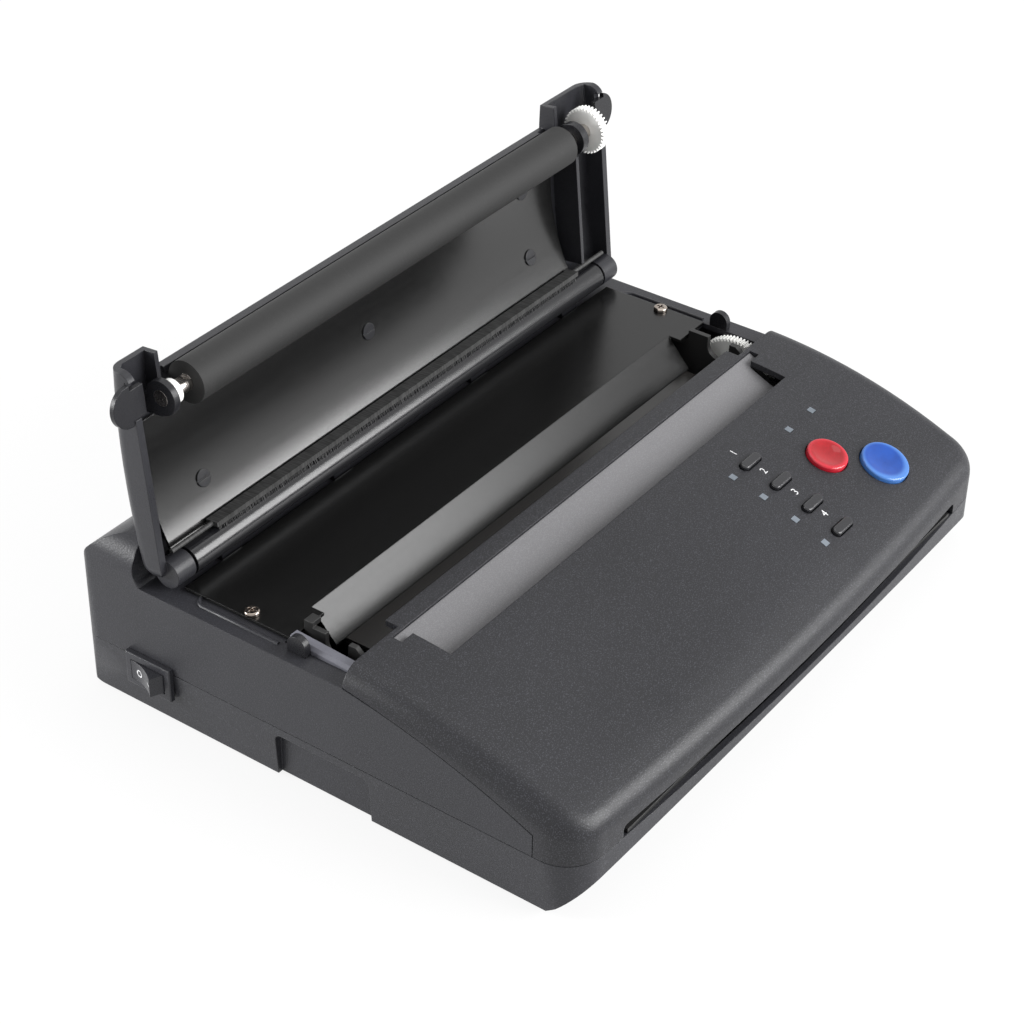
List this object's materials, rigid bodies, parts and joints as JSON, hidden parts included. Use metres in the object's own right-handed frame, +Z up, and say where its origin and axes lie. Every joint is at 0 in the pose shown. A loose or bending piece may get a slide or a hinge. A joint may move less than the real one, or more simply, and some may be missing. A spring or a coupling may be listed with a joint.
{
  "type": "thermal stencil copier",
  "caption": "Desktop thermal stencil copier with a swing-up lid that carries a rubber platen roller, a curved front cover, document tray, push buttons, keys and a rocker switch.",
  "frame": {"origin": "centre of the footprint, on the table under the feet", "axes": "+X to the right seen from the front, +Y to the rear, +Z up; the lid is open at rest"},
  "size_m": [0.289, 0.2219, 0.1413],
  "materials": {
    "body_plastic": "fine spark texture",
    "cover_plastic": "fine spark texture",
    "tray_plastic": "coarse sparkling texture",
    "black_plastic": "satin",
    "switch_plastic": "satin gloss",
    "black_steel": "semi-gloss paint",
    "bright_steel": "turned",
    "roller_rubber": "ground matt rubber",
    "foot_rubber": "matt",
    "white_nylon": "moulded",
    "red_button": "gloss",
    "blue_button": "gloss",
    "light_window": "clear gloss",
    "grey_plastic": "satin",
    "brush_fibre": "bristle",
    "ceramic": "glazed",
    "aluminium": "extruded",
    "circuit_board": "solder mask",
    "motor_steel": "zinc plated"
  },
  "bodies": {
    "body": {"base_shell": "body_plastic", "upper_shell": "body_plastic", "front_cover": "cover_plastic", "document_tray": "tray_plastic", "document_guide": "black_steel", "led_windows": "light_window", "key_board": "circuit_board", "deck_plate": "black_steel", "deck_screws": "bright_steel", "hinge_barrel": "black_plastic", "hinge_rod": "bright_steel", "side_frame_left": "black_steel", "side_frame_right": "black_steel", "latch_posts": "black_plastic", "trim_bar": "grey_plastic", "thermal_head": "ceramic", "heat_sink": "aluminium", "head_beam": "black_steel", "drive_axles": "bright_steel", "drive_motor": "motor_steel", "feed_axle": "bright_steel", "feed_motor": "motor_steel", "image_sensor": "black_plastic", "main_board": "circuit_board", "power_board": "circuit_board", "power_inlet": "switch_plastic", "switch_housing": "switch_plastic", "rubber_feet": "foot_rubber"},
    "lid": {"lid_shell": "body_plastic", "lid_inner_plate": "black_steel", "lid_plugs": "black_plastic", "brush_strip": "brush_fibre", "platen_bearing_left": "black_plastic", "platen_bearing_right": "black_plastic", "platen_bush": "white_nylon"},
    "platen": {"platen_roller": "roller_rubber", "platen_shaft": "bright_steel", "platen_gear": "white_nylon", "platen_clip": "bright_steel"},
    "tab_right": {"release_tab_right": "black_plastic"},
    "tab_left": {"release_tab_left": "black_plastic"},
    "drive_wheel": {"drive_gear": "white_nylon"},
    "idler_wheel": {"drive_idler": "white_nylon"},
    "motor_pinion": {"drive_pinion": "white_nylon"},
    "feed_rollers": {"feed_roller": "roller_rubber", "feed_shaft": "bright_steel", "feed_gear": "white_nylon"},
    "feed_idler_wheel": {"feed_idler": "white_nylon"},
    "feed_motor_pinion": {"feed_pinion": "white_nylon"},
    "rocker": {"power_rocker": "switch_plastic"},
    "stop": {"stop_button": "red_button"},
    "copy": {"copy_button": "blue_button"},
    "mode_key_1": {"key_1": "black_plastic"},
    "mode_key_2": {"key_2": "black_plastic"},
    "mode_key_3": {"key_3": "black_plastic"},
    "mode_key_4": {"key_4": "black_plastic"}
  },
  "joints": [
    {"name": "lid_hinge", "type": "hinge", "parent": "body", "child": "lid", "pos_m": [0, 0.0695, 0.063], "axis": [1, 0, 0], "range_deg": [0, 101]},
    {"name": "platen_spin", "type": "hinge", "parent": "lid", "child": "platen", "pos_m": [0, 0.07373, 0.1287], "axis": [1, 0, 0], "continuous": true},
    {"name": "tab_right_slide", "type": "slide", "parent": "lid", "child": "tab_right", "axis": [0, 0.0976, 0.9952], "range_m": [0, 0.002], "stiffness_N_per_m": 200},
    {"name": "tab_left_slide", "type": "slide", "parent": "lid", "child": "tab_left", "axis": [0, 0.0976, 0.9952], "range_m": [0, 0.002], "stiffness_N_per_m": 200},
    {"name": "drive_wheel_spin", "type": "hinge", "parent": "body", "child": "drive_wheel", "pos_m": [0.125, 0.00066, 0.03799], "axis": [1, 0, 0], "continuous": true},
    {"name": "idler_spin", "type": "hinge", "parent": "body", "child": "idler_wheel", "pos_m": [0.127, 0.02384, 0.02862], "axis": [1, 0, 0], "continuous": true},
    {"name": "motor_pinion_spin", "type": "hinge", "parent": "body", "child": "motor_pinion", "pos_m": [0.127, 0.03418, 0.0268], "axis": [1, 0, 0], "continuous": true},
    {"name": "feed_roller_spin", "type": "hinge", "parent": "body", "child": "feed_rollers", "pos_m": [0, -0.0402, 0.044], "axis": [1, 0, 0], "continuous": true},
    {"name": "feed_idler_spin", "type": "hinge", "parent": "body", "child": "feed_idler_wheel", "pos_m": [-0.127, -0.03633, 0.02848], "axis": [1, 0, 0], "continuous": true},
    {"name": "feed_pinion_spin", "type": "hinge", "parent": "body", "child": "feed_motor_pinion", "pos_m": [-0.127, -0.0279, 0.0214], "axis": [1, 0, 0], "continuous": true},
    {"name": "rocker_pivot", "type": "hinge", "parent": "body", "child": "rocker", "pos_m": [-0.1399, 0.0762, 0.0194], "axis": [0, 0, 1], "range_deg": [0, 40]},
    {"name": "stop_press", "type": "slide", "parent": "body", "child": "stop", "axis": [0, 0.2796, -0.9601], "range_m": [0, 0.001], "stiffness_N_per_m": 300, "springref_m": -0.0005},
    {"name": "copy_press", "type": "slide", "parent": "body", "child": "copy", "axis": [0, 0.3501, -0.9367], "range_m": [0, 0.001], "stiffness_N_per_m": 300, "springref_m": -0.0005},
    {"name": "key_1_press", "type": "slide", "parent": "body", "child": "mode_key_1", "axis": [0, 0.2026, -0.9793], "range_m": [0, 0.001], "stiffness_N_per_m": 300, "springref_m": -0.0005},
    {"name": "key_2_press", "type": "slide", "parent": "body", "child": "mode_key_2", "axis": [0, 0.2609, -0.9654], "range_m": [0, 0.001], "stiffness_N_per_m": 300, "springref_m": -0.0005},
    {"name": "key_3_press", "type": "slide", "parent": "body", "child": "mode_key_3", "axis": [0, 0.3209, -0.9471], "range_m": [0, 0.001], "stiffness_N_per_m": 300, "springref_m": -0.0005},
    {"name": "key_4_press", "type": "slide", "parent": "body", "child": "mode_key_4", "axis": [0, 0.3775, -0.926], "range_m": [0, 0.001], "stiffness_N_per_m": 300, "springref_m": -0.0005}
  ],
  "couplings": [
    {"joint": "idler_spin", "follows": "drive_wheel_spin", "ratio": -2.3333},
    {"joint": "motor_pinion_spin", "follows": "drive_wheel_spin", "ratio": 5.8333},
    {"joint": "feed_idler_spin", "follows": "feed_roller_spin", "ratio": -1},
    {"joint": "feed_pinion_spin", "follows": "feed_roller_spin", "ratio": 2.6667}
  ]
}
